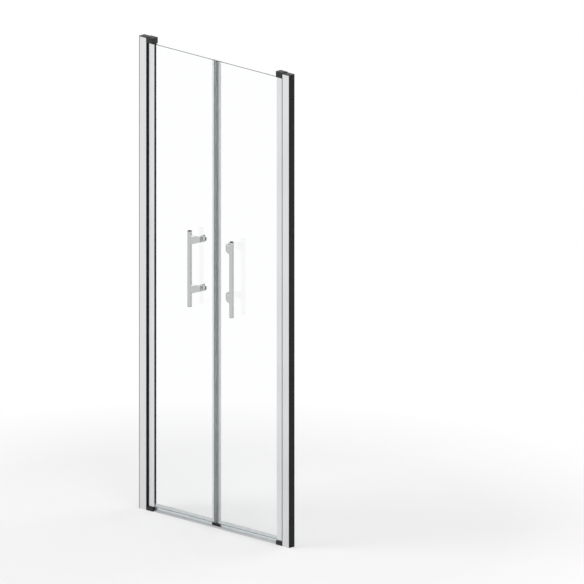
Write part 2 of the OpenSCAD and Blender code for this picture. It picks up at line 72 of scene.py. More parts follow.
def reach(node):
    """Lowest and highest corner of a node as arrays, with X measured from the middle of the door
    towards the node's own side."""
    low, high = (np.array(corner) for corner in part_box(node))
    if node.startswith("left_"):
        low[0], high[0] = -high[0], -low[0]
    return low, high


POST = reach("right_post")
PROFILE = reach("right_pivot_profile")
GLASS = reach("right_glass")
BLOCK_LOW = reach("right_bottom_block")
BLOCK_HIGH = reach("right_top_block")
CAP = reach("right_post_cap")
SEAL = reach("right_post_seal")
GASKET = reach("right_glazing_gasket")
DRIP = reach("right_drip_seal")
SILL = reach("sill_strip")
BAR = reach("right_handle_bar")
PLUGS = reach("right_handle_plugs")
ROSETTES = reach("right_rosettes")
ARM = reach("right_upper_arm")

WHITE = (1.0, 1.0, 1.0, 1.0)
BACKDROP = 1.0          # strength of the plain white that the camera, metal and glass see
SOFT_LIGHT = 0.62       # strength of the same white as light on the object
FADE_MIDDLE = 1.25      # metres from the door at which the floor is half backdrop
FADE_WIDTH = 1.1        # metres over which it goes over
FADE_LEAST = 0.35       # share of the backdrop in the floor under the door
FLOOR_HALF = 9.0        # half the side of the floor
FLOOR_LEVEL = -0.0004   # just under the door
VIEW_TURN = 45.0        # degrees round the door from its front
VIEW_RISE = 15.45       # degrees above the floor
VIEW_WIDTH = 2.2005     # metres across the picture
VIEW_PLACE = (0.2833, 0.8866, 7.0)  # metres right, up and back along the camera's own axes
VIEW_CLIP = (0.1, 60.0)
LAMPS_LOOK_AT = (0.0, 0.0, 0.9)
LAMPS = (               # name, place, side, power
    ("key_lamp", (-2.6, -3.4, 3.6), 2.6, 95.0),
    ("side_lamp", (3.4, -1.4, 2.2), 2.2, 36.0),
    ("back_lamp", (0.6, 3.4, 3.0), 2.4, 40.0),
)


# ---------------------------------------------------------------- sizes and colours


def length(name, description, default):
    """A distance that a user can change, in metres."""
    return FloatProperty(
        name=name, description=description, default=default, min=0.0, unit="LENGTH", subtype="DISTANCE")


def tint(name, description, default):
    """A colour that a user can change, in linear values."""
    return FloatVectorProperty(
        name=name, description=description, default=default, size=3, min=0.0, max=1.0, subtype="COLOR")


class ShowerDoorSizes(PropertyGroup):
    """Small sizes that finish the pieces"""

    cap_edge: length("Cap edge", "Radius of the edge on top of a post cap", 0.0009)
    block_edge: length("Block edge", "Radius of the edges of a pivot block", 0.0008)
    block_top: length("Block top", "Radius of the upper edge of the upper block", 0.0018)
    block_corner: length("Block corner", "Radius of a block's upright corners at the leaf", 0.004)
    post_corner: length("Post corner", "Radius of the post's two corners at the leaf", 0.0012)
    arris: length("Glass arris", "Width of the ground edge round the glass", 0.0007)
    glass_hole: length("Glass hole", "Radius of a handle hole in the glass", 0.005)
    strip_wall: length("Strip wall", "Wall thickness of a closing strip", 0.0012)
    strip_fit: length("Strip fit", "Gap between glass and strip at the strip's root", 0.0001)
    magnet_room: length("Magnet chamber", "Width of the magnet's chamber in a closing strip", 0.0042)
    seal_fin: length("Seal fin", "Reach of a post seal's fin past its base", 0.0018)
    bead: length("Gasket bead", "Width of the gasket's bead on the glass", 0.0026)
    lip: length("Drip lip", "Thickness of a drip seal's lip at its tip", 0.0007)
    bar_wall: length("Bar wall", "Wall thickness of a handle bar", 0.0015)
    arm_thickness: length("Arm thickness", "Thickness of a handle arm", 0.008)
    arm_drop: length("Arm drop", "Reach of a handle arm below its glass hole, at the bar", 0.026)
    arm_edge: length("Arm edge", "Radius along the edges of a handle arm", 0.0024)
    foot_thickness: length("Foot thickness", "Thickness of the round foot of a handle arm", 0.004)
    screw_head: length("Screw head", "Radius of the recess for a handle screw's head", 0.0047)


class ShowerDoorColours(PropertyGroup):
    """Colours of the finishes"""

    aluminium: tint("Aluminium", "Bright anodised profiles", (0.74, 0.75, 0.76))
    mill: tint("Mill aluminium", "Channel behind the post", (0.55, 0.56, 0.57))
    sill: tint("Sill aluminium", "Brushed strip on the tray", (0.46, 0.47, 0.48))
    steel: tint("Steel", "Screws and pins", (0.56, 0.56, 0.57))
    chrome: tint("Chrome", "Handles and rosettes", (0.54, 0.55, 0.555))
    plastic: tint("Black plastic", "Pivot blocks, caps and plugs", (0.010, 0.010, 0.011))
    bearing: tint("Bearing plastic", "Bearings and washers", (0.045, 0.045, 0.048))
    # Black of the seals and gaskets; in the post seals it also stands in for the shade in the gap between
    # post and leaf
    rubber: tint("Black rubber", "Seals and gaskets", (0.009, 0.009, 0.010))
    # Black of the wall tape, which also stands in for the shade on the posts' wall side
    foam: tint("Black foam", "Tape against the wall", (0.012, 0.012, 0.013))
    glass: tint("Glass", "Clear safety glass", (0.985, 0.99, 0.988))
    glass_edge: tint("Glass edge", "Green of the ground edge of the glass", (0.03, 0.14, 0.11))
    vinyl: tint("Clear vinyl", "Closing strips and drip seals", (0.88, 0.91, 0.92))
    magnet: tint("Magnet", "Magnet tape in the closing strips", (0.055, 0.052, 0.050))
    bush: tint("Bush", "Soft bushes in the glass holes", (0.78, 0.80, 0.80))
    floor: tint("Floor", "Plain pale floor", (0.88, 0.88, 0.88))


# ---------------------------------------------------------------- surfaces


def outline(corners, radii=0.0, steps=5):
    """Closed outline through corners, each rounded with its own radius: the arc's centre lies on the
    corner's bisector, radius / sin(half the angle) away, and its points turn evenly from one side to
    the next. A corner with no radius keeps its one point."""
    p = np.asarray(corners, float)
    r = np.broadcast_to(np.asarray(radii, float), len(p))
    back, ahead = np.roll(p, 1, 0) - p, np.roll(p, -1, 0) - p
    back /= np.linalg.norm(back, axis=1)[:, None]
    ahead /= np.linalg.norm(ahead, axis=1)[:, None]
    half = 0.5 * np.arccos(np.clip((back * ahead).sum(1), -1, 1))
    middle = back + ahead
    middle /= np.maximum(np.linalg.norm(middle, axis=1), TINY)[:, None]
    centre = p + middle * (r / np.sin(half))[:, None]
    first = p + back * (r / np.tan(half))[:, None] - centre
    last = p + ahead * (r / np.tan(half))[:, None] - centre
    start = np.arctan2(first[:, 1], first[:, 0])
    turn = (np.arctan2(last[:, 1], last[:, 0]) - start + math.pi) % (2 * math.pi) - math.pi
    share = np.linspace(0, 1, steps + 1)
    angle = start[:, None] + turn[:, None] * share
    arcs = centre[:, None] + r[:, None, None] * np.stack([np.cos(angle), np.sin(angle)], -1)
    return arcs[(r > 0)[:, None] | (share == 0)]


def slab(x0, x1, half):
    """The four corners of a rectangle from x0 to x1 that reaches as far to both sides of y = 0."""
    return [(x0, -half), (x1, -half), (x1, half), (x0, half)]


def shoulder(radius, height, ease):
    """Quarter round at the rim of a disc, as (radius, height): ease * (1 - cos b) in from the radius
    and ease * (1 - sin b) down from the height, as b goes from 0 to a quarter turn."""
    b = np.linspace(0, math.pi / 2, 6)
    return np.stack([radius - ease * (1 - np.cos(b)), height - ease * (1 - np.sin(b))], -1)


def circle(centre, radius, points):
    """Closed outline at one distance from a centre."""
    a = np.linspace(0, 2 * math.pi, points, endpoint=False)
    return np.asarray(centre) + radius * np.stack([np.cos(a), np.sin(a)], -1)


def facing(loop, hole=False):
    """The outline turned anticlockwise, or clockwise for a hole, so that its right side is outside."""
    x, y = loop.T
    area = (x * np.roll(y, -1) - y * np.roll(x, -1)).sum()
    return loop if (area > 0) != hole else loop[::-1]


def outward(loop):
    """For each point of an outline, the vector that moves both its sides out by one."""
    side = np.roll(loop, -1, 0) - loop
    n = np.stack([side[:, 1], -side[:, 0]], -1) / np.linalg.norm(side, axis=1)[:, None]
    both = n + np.roll(n, 1, 0)
    return 2 * both / (both * both).sum(1)[:, None]


def prism(loops, low, high, edges=(0.0, 0.0), steps=3):
    """Closed solid of an outline, with holes after the first loop, carried from one height to another.
    Near an end with an edge radius, each ring is drawn in by radius * (1 - sin(a)) at a height of
    radius * (1 - cos(a)) from the end, as a goes from 0 to a quarter turn."""
    a = np.linspace(0, math.pi / 2, steps + 1)
    rise, draw = [], []
    for end, radius, sign in ((low, edges[0], 1), (high, edges[1], -1)):
        arc = a if radius > 0 else a[-1:]
        rise.append((end + sign * radius * (1 - np.cos(arc)))[::sign])
        draw.append((radius * (1 - np.sin(arc)))[::sign])
    rise, draw = np.concatenate(rise), np.concatenate(draw)
    points, faces, ends, start = [], [], [[], []], 0
    for k, loop in enumerate(loops):
        loop = facing(np.asarray(loop, float), k > 0)
        n, m = len(loop), len(rise)
        flat = loop[None] - outward(loop)[None] * draw[:, None, None]
        height = np.broadcast_to(rise[:, None, None], (m, n, 1))
        points.append(np.concatenate([flat, height], -1).reshape(-1, 3))
        i, j = np.meshgrid(np.arange(n), np.arange(m - 1))
        i, j, nxt = i.ravel(), j.ravel() * n, (i.ravel() + 1) % n
        faces += (start + np.stack([j + i, j + nxt, j + n + nxt, j + n + i], -1)).tolist()
        ends[0].append((flat[0], start + np.arange(n)))
        ends[1].append((flat[-1], start + (m - 1) * n + np.arange(n)))
        start += n * m
    for end in ends:
        index = np.concatenate([ids for _, ids in end])
        cut = tessellate_polygon([[Vector((*p, 0.0)) for p in flat] for flat, _ in end])
        faces += [index[list(t)].tolist() for t in cut]
    return np.concatenate(points), faces


def turned(profile, closed, turns=64):
    """Surface of revolution: each (radius, height) of the profile goes once round the axis. The first
    and last points lie on the axis, unless the profile is closed into a ring."""
    profile = np.asarray(profile, float)
    a = np.linspace(0, 2 * math.pi, turns, endpoint=False)
    r, h = profile[:, :1], profile[:, 1:]
    points = np.stack([r * np.cos(a), r * np.sin(a), np.broadcast_to(h, (len(profile), turns))], -1)
    rows = len(profile) if closed else len(profile) - 1
    i, j = np.meshgrid(np.arange(turns), np.arange(rows))
    i, j = i.ravel(), j.ravel()
    nxt, up = (i + 1) % turns, (j + 1) % len(profile)
    quads = np.stack([j * turns + i, j * turns + nxt, up * turns + nxt, up * turns + i], -1)
    return points.reshape(-1, 3), quads.tolist()


def swept(sections):
    """Closed solid through a row of closed sections with equal counts of points, flat at both ends."""
    sections = np.asarray(sections, float)
    m, n, _ = sections.shape
    i, j = np.meshgrid(np.arange(n), np.arange(m - 1))
    i, j, nxt = i.ravel(), j.ravel() * n, (i.ravel() + 1) % n
    faces = np.stack([j + i, j + nxt, j + n + nxt, j + n + i], -1).tolist()
    return sections.reshape(-1, 3), faces + [list(range(n)), list(range((m - 1) * n, m * n))]


def placed(shape, axes, origin=(0.0, 0.0, 0.0)):
    """The shape with its own three directions laid along axes, and its zero at origin."""
    points, faces = shape
    return points @ np.asarray(axes, float) + np.asarray(origin, float), faces


ALONG_X = ((0, 1, 0), (0, 0, 1), (1, 0, 0))
ALONG_Y = ((1, 0, 0), (0, 0, 1), (0, 1, 0))
TO_FRONT = ((1, 0, 0), (0, 0, 1), (0, -1, 0))
ALONG_Z = ((1, 0, 0), (0, 1, 0), (0, 0, 1))
DOWNWARDS = ((1, 0, 0), (0, 1, 0), (0, 0, -1))


def solid(name, shapes, side=1.0, crease=CREASE):
    """One object of closed shells. Within a shell, points that meet are merged, and its faces are
    turned outwards, which makes its volume positive. Edges sharper than the crease angle stay sharp.
    A left-hand piece is the right-hand one with its X turned round."""
    mesh = bpy.data.meshes.new(name)
    whole = bmesh.new()
    for points, faces in shapes:
        mesh.clear_geometry()
        mesh.from_pydata(points * np.array([side, 1.0, 1.0]), [], faces)
        shell = bmesh.new()
        shell.from_mesh(mesh)
        bmesh.ops.remove_doubles(shell, verts=shell.verts, dist=TINY)
        bmesh.ops.recalc_face_normals(shell, faces=shell.faces)
        if shell.calc_volume(signed=True) < 0:
            bmesh.ops.reverse_faces(shell, faces=shell.faces)
        loose = sum(len(edge.link_faces) != 2 for edge in shell.edges)
        if loose:
            raise RuntimeError(f"{name} has {loose} edges that don't join two faces")
        shell.to_mesh(mesh)
        shell.free()
        whole.from_mesh(mesh)
    whole.to_mesh(mesh)
    whole.free()
    piece = bpy.data.objects.new(name, mesh)
    bpy.context.scene.collection.objects.link(piece)
    smoothed(piece, crease)
    return piece


def smoothed(piece, crease):
    """Smooth shading up to the crease angle. Large flat faces set it at their rounded edges."""
    piece.data.shade_smooth()
    piece.data.set_sharp_from_angle(angle=math.radians(crease))
    made = piece.modifiers.new("even shading", "WEIGHTED_NORMAL")
    made.keep_sharp, made.weight = True, 50


def fit(piece, body, slot, *nodes, finish=None):
    """Gives a piece the material of its finish, or of its slot where no finish is given, puts it under
    its body and hides the nodes that it stands in for.
    """
    piece.data.materials.append(material(finish or slot))
    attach(piece, body)
    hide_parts(*nodes)


# ---------------------------------------------------------------- finishes


class Term:
    """A socket that Python's operators work on. Each operation adds one Math node, so the result
    changes over the surface."""

    def __init__(self, recipe, socket):
        self.recipe, self.socket = recipe, socket

    def _math(self, operation, *values, clamp=False):
        settings = {"operation": operation, "use_clamp": clamp}
        return self.recipe.node("ShaderNodeMath", settings, dict(enumerate(values)))

    def __add__(self, other): return self._math("ADD", self, other)
    def __sub__(self, other): return self._math("SUBTRACT", self, other)
    def __mul__(self, other): return self._math("MULTIPLY", self, other)
    def __rsub__(self, other): return self._math("SUBTRACT", other, self)

    def above(self, edge, soft):
        """0 below the edge and 1 above it, with a soft step."""
        return self._math("MULTIPLY_ADD", self, 1 / soft, 0.5 - edge / soft, clamp=True)

    def most(self, other): return self._math("MAXIMUM", self, other)
    def size(self): return self._math("ABSOLUTE", self)


class Recipe:
    """The nodes of one material."""

    def __init__(self, tree):
        self.tree = tree
        tree.nodes.clear()

    def node(self, kind, settings=None, sockets=None, out=0):
        """Adds a node: first its settings, then its sockets' values or links. Returns the output
        asked for, or no socket for a node that ends the tree."""
        made = self.tree.nodes.new(kind)
        for key, value in (settings or {}).items():
            setattr(made, key, value)
        for key, value in (sockets or {}).items():
            if isinstance(value, Term):
                self.tree.links.new(value.socket, made.inputs[key])
            else:
                made.inputs[key].default_value = value
        return Term(self, made.outputs[out] if len(made.outputs) else None)

    def at(self, scale=(1.0, 1.0, 1.0)):
        """Object coordinates, scaled along each axis."""
        place = self.node("ShaderNodeTexCoord", out="Object")
        return self.node("ShaderNodeMapping", {}, {"Vector": place, "Scale": scale})

    def axis(self, letter):
        """One of the three object coordinates, in metres."""
        place = self.node("ShaderNodeTexCoord", out="Object")
        return self.node("ShaderNodeSeparateXYZ", {}, {0: place}, letter)

    def noise(self, scale, detail, rough, stretch=(1.0, 1.0, 1.0)):
        """Soft cloudy noise from 0 to 1, with so many lumps a metre, stretched by an axis's share."""
        return self.node("ShaderNodeTexNoise", {}, {
            "Vector": self.at(stretch), "Scale": scale, "Detail": detail, "Roughness": rough})

    def cells(self, scale):
        """Distance to the nearest of many scattered points, in cells."""
        return self.node("ShaderNodeTexVoronoi", {}, {"Vector": self.at(), "Scale": scale}, "Distance")

    def blend(self, factor, a, b):
        """Colour a where the factor is 0 and colour b where it is 1."""
        sockets = {0: factor, 6: (*a, 1.0), 7: (*b, 1.0)}
        return self.node("ShaderNodeMix", {"data_type": "RGBA"}, sockets, 2)

    def tone(self, factor, colour, first, second):
        """The colour times the first share where the factor is 0, and times the second where it is 1."""
        shades = [[min(1.0, c * share) for c in colour] for share in (first, second)]
        return self.blend(factor, *shades)

    def bump(self, height, depth, strength):
        """Surface normal of a relief whose full height is depth metres."""
        sockets = {"Height": height, "Distance": depth, "Strength": strength}
        return self.node("ShaderNodeBump", {}, sockets)

    def surface(self, **sockets):
        """The Principled shader and the output. Underscores in a socket's name stand for spaces."""
        inputs = {key.replace("_", " "): value for key, value in sockets.items()}
        shader = self.node("ShaderNodeBsdfPrincipled", {}, inputs)
        self.node("ShaderNodeOutputMaterial", {}, {"Surface": shader})


def extruded_metal(r, colour, along, rough, streaks):
    """Extruded aluminium: die lines along its length, an even etched grain and slow cloudy tone."""
    stretch = [1.0, 1.0, 1.0]
    stretch[along] = 0.006
    line = r.noise(1400, 3, 0.6, stretch)
    grain = r.noise(4200, 1, 0.5)
    cloud = r.noise(5, 2, 0.5)
    r.surface(
        Base_Color=r.tone(line * 0.55 + cloud * 0.45, colour, 0.82, 1.14), Metallic=1.0,
        Roughness=line * streaks + grain * 0.05 + (rough - streaks / 2),
        Normal=r.bump(line * 0.7 + grain * 0.3, 0.00003, 0.55))


def anodised(r, c): extruded_metal(r, c.aluminium, 2, 0.30, 0.10)
def anodised_sill(r, c): extruded_metal(r, c.sill, 0, 0.34, 0.12)
def mill_finish(r, c): extruded_metal(r, c.mill, 2, 0.42, 0.20)


def stainless(r, c):
    """Turned steel with fine scratches and a little stain."""
    scratch = r.noise(2600, 2, 0.6, (1.0, 0.15, 1.0))
    stain = r.noise(140, 3, 0.6)
    r.surface(
        Base_Color=r.tone(stain, c.steel, 0.85, 1.08), Metallic=1.0,
        Roughness=scratch * 0.16 + 0.16, Normal=r.bump(scratch, 0.00002, 0.4))


def chrome(r, c):
    """Bright chrome with the soft waviness of a polished casting and faint finger marks."""
    wave = r.noise(70, 2, 0.5)
    mark = r.noise(38, 4, 0.65).above(0.60, 0.12) * r.noise(900, 2, 0.6, (1.0, 1.0, 0.3))
    r.surface(
        Base_Color=r.tone(wave, c.chrome, 0.96, 1.03), Metallic=1.0,
        Roughness=mark * 0.16 + wave * 0.03 + 0.05, Normal=r.bump(wave, 0.00004, 0.25))


def moulded(r, colour, grain_scale, rough):
    """Moulded plastic: fine spark-eroded grain, with slightly paler rubbed patches."""
    grain = r.noise(grain_scale, 2, 0.55)
    rubbed = r.noise(60, 3, 0.6).above(0.56, 0.20)
    r.surface(
        Base_Color=r.tone(rubbed * 0.6 + grain * 0.25, colour, 1.0, 2.1),
        Specular_IOR_Level=0.32, Roughness=grain * 0.16 + rough - rubbed * 0.10,
        Normal=r.bump(grain, 0.00008, 0.5))


def black_plastic(r, c): moulded(r, c.plastic, 2600, 0.40)
def bearing_plastic(r, c): moulded(r, c.bearing, 1500, 0.34)


def rubber(r, c):
    """Extruded rubber: dull, with lines along its length and a bloom of dust."""
    line = r.noise(1600, 2, 0.5, (1.0, 1.0, 0.01))
    bloom = r.noise(90, 4, 0.7)
    r.surface(
        Base_Color=r.tone(bloom * 0.6 + line * 0.2, c.rubber, 1.0, 2.4),
        Specular_IOR_Level=0.25, Roughness=bloom * 0.12 + 0.62, Normal=r.bump(line, 0.00005, 0.5))


def foam(r, c):
    """Closed-cell foam tape, black as tape and also as a stand-in for the shade on the posts' wall side:
    small round cells, with painted shade darkening their hollows.
    """
    cell = r.cells(1100)
    r.surface(
        # Painted shade: the colour darkens towards each cell's rim, where the bump sinks into a hollow
        Base_Color=r.tone(cell, c.foam, 2.0, 0.6), Specular_IOR_Level=0.22,
        Roughness=cell * 0.1 + 0.82, Normal=r.bump(1.0 - cell, 0.0003, 0.7))


def glass(r, c):
    """Clear float glass. Its ground edge, within the arris of the pane's outline, is green and dull."""
    (x0, _, z0), (x1, _, z1) = GLASS
    rim = bpy.context.scene.shower_door_sizes.arris * 1.1
    x, z = r.axis("X").size(), r.axis("Z")
    edge = (1.0 - x.above(x0 + rim, 0.0002)).most(x.above(x1 - rim, 0.0002))
    edge = edge.most(1.0 - z.above(z0 + rim, 0.0002)).most(z.above(z1 - rim, 0.0002))
    film = r.noise(30, 3, 0.6).above(0.55, 0.3)
    r.surface(
        Base_Color=r.blend(edge, c.glass, c.glass_edge), IOR=1.52, Transmission_Weight=1.0,
        Roughness=edge * 0.22 + film * 0.012,
        Normal=r.bump(r.noise(900, 2, 0.6) * edge, 0.00006, 0.6))


def vinyl(r, c):
    """Clear soft strip: milky, with lines along its length."""
    line = r.noise(1300, 3, 0.6, (1.0, 1.0, 0.008))
    milk = r.noise(14, 2, 0.5)
    r.surface(
        Base_Color=r.tone(line * 0.5 + milk * 0.5, c.vinyl, 0.95, 1.04),
        IOR=1.46, Transmission_Weight=0.93, Roughness=line * 0.07 + milk * 0.03 + 0.03,
        Normal=r.bump(line, 0.00004, 0.4))


def magnet_tape(r, c):
    """Plastic-bonded magnet: dark, dull and full of fine specks."""
    speck = r.noise(5200, 2, 0.7)
    r.surface(
        Base_Color=r.tone(speck, c.magnet, 0.5, 1.7),
        Roughness=speck * 0.2 + 0.45, Normal=r.bump(speck, 0.00003, 0.4))


def soft_bush(r, c):
    """Soft milky plastic."""
    haze = r.noise(260, 3, 0.6)
    r.surface(
        Base_Color=r.tone(haze, c.bush, 0.9, 1.08), Transmission_Weight=0.25,
        Roughness=haze * 0.14 + 0.32, Normal=r.bump(haze, 0.00003, 0.4))


def studio_floor(r, c):
    """Pale floor with a faint mottle, which takes the object's shadow. For the camera, and in what
    metal and glass show, it goes over into the plain white backdrop further out."""
    mottle = r.tone(r.noise(9, 3, 0.5), c.floor, 0.99, 1.01)
    paint = r.node("ShaderNodeBsdfDiffuse", {}, {"Color": mottle})
    white = r.node("ShaderNodeEmission", {}, {"Color": WHITE, "Strength": BACKDROP})
    out = r.node("ShaderNodeVectorMath", {"operation": "LENGTH"}, {0: r.at()}, "Value")
    fade = out.above(FADE_MIDDLE, FADE_WIDTH).most(FADE_LEAST)
    both = r.node("ShaderNodeMixShader", {}, {0: seen(r) * fade, 1: paint, 2: white})
    r.node("ShaderNodeOutputMaterial", {}, {"Surface": both})


def seen(r):
    """1 for rays from the camera, and for rays that metal and glass send on."""
    path = {name: r.node("ShaderNodeLightPath", out=name) for name in (
        "Is Camera Ray", "Is Glossy Ray", "Is Transmission Ray")}
    first, second, third = path.values()
    return first.most(second).most(third)


FINISHES = {
    "anodised_aluminium": anodised, "anodised_sill": anodised_sill, "mill_aluminium": mill_finish,
    "stainless_steel": stainless, "polished_metal": chrome, "black_plastic": black_plastic,
    "bearing_plastic": bearing_plastic, "black_rubber": rubber, "black_foam": foam,
    "clear_glass": glass, "clear_vinyl": vinyl, "magnet_strip": magnet_tape, "soft_bush": soft_bush,
    "studio_floor": studio_floor,
}


def material(name):
    """The material of that name, made on its first use."""
    full = f"door_{name}"
    if full not in bpy.data.materials:
        made = bpy.data.materials.new(full)
        made.use_nodes = True
        FINISHES[name](Recipe(made.node_tree), bpy.context.scene.shower_door_colours)
    return bpy.data.materials[full]


# ---------------------------------------------------------------- pieces


class SHOWERDOOR_OT_sill(Operator):
    """Sill strip: a low aluminium bar with sloped sides and two fine grooves on top"""

    bl_idname = "shower_door.sill"
    bl_label = "Sill strip"

    def execute(self, context):
        (x0, y0, z0), (x1, y1, z1) = SILL
        groove, slope_radii = 0.0005, [0, 0.0005, 0.0008]
        top = [(y1, z0), (y1, z1 / 3), (y1 / 2, z1)]
        for y in (0.0025, -0.0015):
            top += [(y, z1), (y - groove / 2, z1 - groove), (y - groove, z1)]
        loop = outline(top + [(y0 / 2, z1), (y0, z1 / 3), (y0, z0)],
                       [*slope_radii, *[0] * 6, *slope_radii[::-1]], 4)
        piece = solid("sill_bar", [placed(prism([loop], x0, x1, (BEVEL, BEVEL), 2), ALONG_X)])
        fit(piece, "frame", "anodised_aluminium", "sill_strip", finish="anodised_sill")
        return {"FINISHED"}


class SHOWERDOOR_OT_post_caps(Operator):
    """Black caps on the posts, with rounded top edges and the leg that holds them in the channel"""

    bl_idname = "shower_door.post_caps"
    bl_label = "Post caps"

    def execute(self, context):
        s = context.scene.shower_door_sizes
        top, (right, half, cap_top) = POST[1][2], CAP[1]
        plan = outline(slab(POST[0][0], right, half), [s.post_corner, 0, 0, s.post_corner], 6)
        plate = prism([plan], top, cap_top, (FIT, s.cap_edge), 5)
        channel = reach("right_wall_channel")
        start, inner = channel[0][0] + FIT, channel[1][1] - INSET
        web = reach("right_wall_tape")[0][0] - INSET
        leg, lap, tip_edge = outline(slab(start, web, inner), 0.0006, 3), 0.0003, 0.0008
        tongue = prism([leg], CAP[0][2], top + lap, (tip_edge, 0.0), 3)
        for side, sign in SIDES.items():
            piece = solid(f"post_cap_{side}_moulded", [plate, tongue], sign)
            fit(piece, "frame", "black_plastic", f"{side}_post_cap")
        return {"FINISHED"}


class SHOWERDOOR_OT_pivot_blocks(Operator):
    """Black pivot blocks at the foot and the head of each leaf, with their tongues in the post"""

    bl_idname = "shower_door.pivot_blocks"
    bl_label = "Pivot blocks"

    def execute(self, context):
        s = context.scene.shower_door_sizes
        face, half, under_cap = POST[0][0], POST[1][1], POST[1][2] - 0.0001
        (nose, _, foot), (back, _, tongue_top) = BLOCK_LOW
        inside, lap, neck_half, leaf_gap, tongue_edge = face + INSET, 0.0005, 0.009, 0.001, 0.001
        plan = outline(slab(nose, face, half), [s.block_corner, BEVEL, BEVEL, s.block_corner], 6)
        neck = outline(slab(face - lap, inside + lap, neck_half))
        tongue = outline(slab(inside, back, half - INSET), 0.0005, 3)
        body_top = reach("right_bottom_bearing")[0][2] - leaf_gap
        body_base = reach("right_top_bearing")[1][2] + leaf_gap
        low = [prism([plan], foot, body_top, (BEVEL, s.block_edge), 4),
               prism([neck], foot, body_top - FIT),
               prism([tongue], foot, tongue_top, (0.0, tongue_edge), 3)]
        high = [prism([plan], body_base, BLOCK_HIGH[1][2], (s.block_edge, s.block_top), 5),
                prism([neck], body_base + FIT, under_cap),
                prism([tongue], BLOCK_HIGH[0][2], under_cap, (tongue_edge, 0.0), 3)]
        for side, sign in SIDES.items():
            for end, shapes in (("bottom", low), ("top", high)):
                piece = solid(f"{end}_block_{side}_moulded", shapes, sign)
                fit(piece, "frame", "black_plastic", f"{side}_{end}_block")
        return {"FINISHED"}


class SHOWERDOOR_OT_post_seals(Operator):
    """Black seals in the gap between post and leaf, whose black also stands in for the shade in that gap:
    a flat base with a barb, a lip hollowed to the round of the leaf, and a fin at each edge"""

    bl_idname = "shower_door.post_seals"
    bl_label = "Post seals"

    def execute(self, context):
        s = context.scene.shower_door_sizes
        (nose, _, z0), (barb, y1, z1) = SEAL
        lip, hollow, sheet, fin_width, clear, crease = 0.0045, 0.0007, 0.0009, 0.0011, 0.001, 50.0
        face = POST[0][0]
        base, tip = face - sheet, y1 + s.seal_fin
        across = np.linspace(-lip, lip, 19)
        front = np.stack([nose + hollow * (1 - (across / lip) ** 2), across], -1)
        front[[0, -1], 0] = nose + 0.0004  # the lip's two tips are blunt
        edge = [(face, y1), (face - 0.0004, y1 + 0.0006)]
        fin = [(nose + 0.0001, tip), (nose + 0.0003, tip - fin_width), (base, y1 - 0.0012)]
        half = edge + fin + [(base, lip + 0.0006), (base - 0.0005, lip)]
        loop = np.concatenate([[(x, -y) for x, y in half], front, half[::-1]])
        tongue = outline(slab(face - 0.0001, barb, 0.002), [0, 0.0006, 0.0006, 0], 3)
        shapes = [prism([loop], z0, z1),
                  prism([tongue], BLOCK_LOW[1][2] + clear, BLOCK_HIGH[0][2] - clear)]
        for side, sign in SIDES.items():
            piece = solid(f"post_seal_{side}_lipped", shapes, sign, crease)
            # Black rubber: a real seal, whose black also serves as painted shade in the gap between post
            # and leaf
            fit(piece, "frame", "black_rubber", f"{side}_post_seal")
        return {"FINISHED"}


class SHOWERDOOR_OT_gaskets(Operator):
    """Black gaskets between glass and pivot profile, with a rounded bead along the profile's edge"""

    bl_idname = "shower_door.gaskets"
    bl_label = "Glazing gaskets"

    def execute(self, context):
        s = context.scene.shower_door_sizes
        (x0, y0, z0), (x1, y1, z1) = GASKET
        slot, face = GLASS[1][0], GLASS[1][1]
        channel = [(x0, y0), (x1, y0), (x1, y1), (x0, y1), (x0, face), (slot, face), (slot, -face),
                   (x0, -face)]
        near, crest = face + 0.00003, y1 + 0.0011
        inside, lapped, outside = x0 + 0.0003, y1 - 0.0001, x0 - 0.00005
        bead = outline([(x0 - s.bead, near), (inside, near), (inside, lapped), (outside, lapped),
                        (outside, crest), (x0 - s.bead * 0.55, crest)],
                       [0.0004, 0, 0, 0, 0.0004, 0.0009], 4)
        above, ends = DRIP[1][2] + 0.0006, (0.0006, 0.0004)
        shapes = [prism([channel], z0, z1), prism([bead], above, z1, ends, 2),
                  prism([bead * (1.0, -1.0)], above, z1, ends, 2)]
        for side, sign in SIDES.items():
            piece = solid(f"glazing_gasket_{side}_beaded", shapes, sign)
            fit(piece, f"{side}_leaf", "black_rubber", f"{side}_glazing_gasket")
        return {"FINISHED"}


class SHOWERDOOR_OT_glass(Operator):
    """Glass panes with a ground edge all round and at the two handle holes"""

    bl_idname = "shower_door.glass"
    bl_label = "Glass"

    def execute(self, context):
        s = context.scene.shower_door_sizes
        (x0, y0, z0), (x1, y1, z1) = GLASS
        corner, crease = 0.0012, 30.0
        rim = outline([(x0, z0), (x1, z0), (x1, z1), (x0, z1)], corner, 4)
        holes = [circle((x, z), s.glass_hole, 40) for x, z in handle_holes()]
        pane = placed(prism([rim, *holes], y0, y1, (s.arris, s.arris), 1), ALONG_Y)
        for side, sign in SIDES.items():
            piece = solid(f"glass_{side}_pane", [pane], sign, crease)
            fit(piece, f"{side}_leaf", "clear_glass", f"{side}_glass")
        return {"FINISHED"}


def handle_holes():
    """Place along the door and height of the two glass holes of the right-hand handle."""
    low, high = ROSETTES
    radius = (high[0] - low[0]) / 2
    return [((low[0] + high[0]) / 2, z) for z in (low[2] + radius, high[2] - radius)]


def chambers(side, s, gap=0.0):
    """Chambers in a closing strip's head, drawn smaller by a gap: one for the magnet next to the seam
    and, where the head is long enough, a second one."""
    low, high = reach(f"{side}_closing_strip")
    start = low[0] + s.strip_wall
    room = high[1] - s.strip_wall - gap
    spans = [(start, start + s.magnet_room)]
    second, end = start + s.magnet_room + s.strip_wall, GLASS[0][0] - s.strip_wall
    if end - second > 2 * s.strip_wall:
        spans.append((second, end))
    return [outline(slab(a + gap, b - gap, room), BEVEL, 2) for a, b in spans]


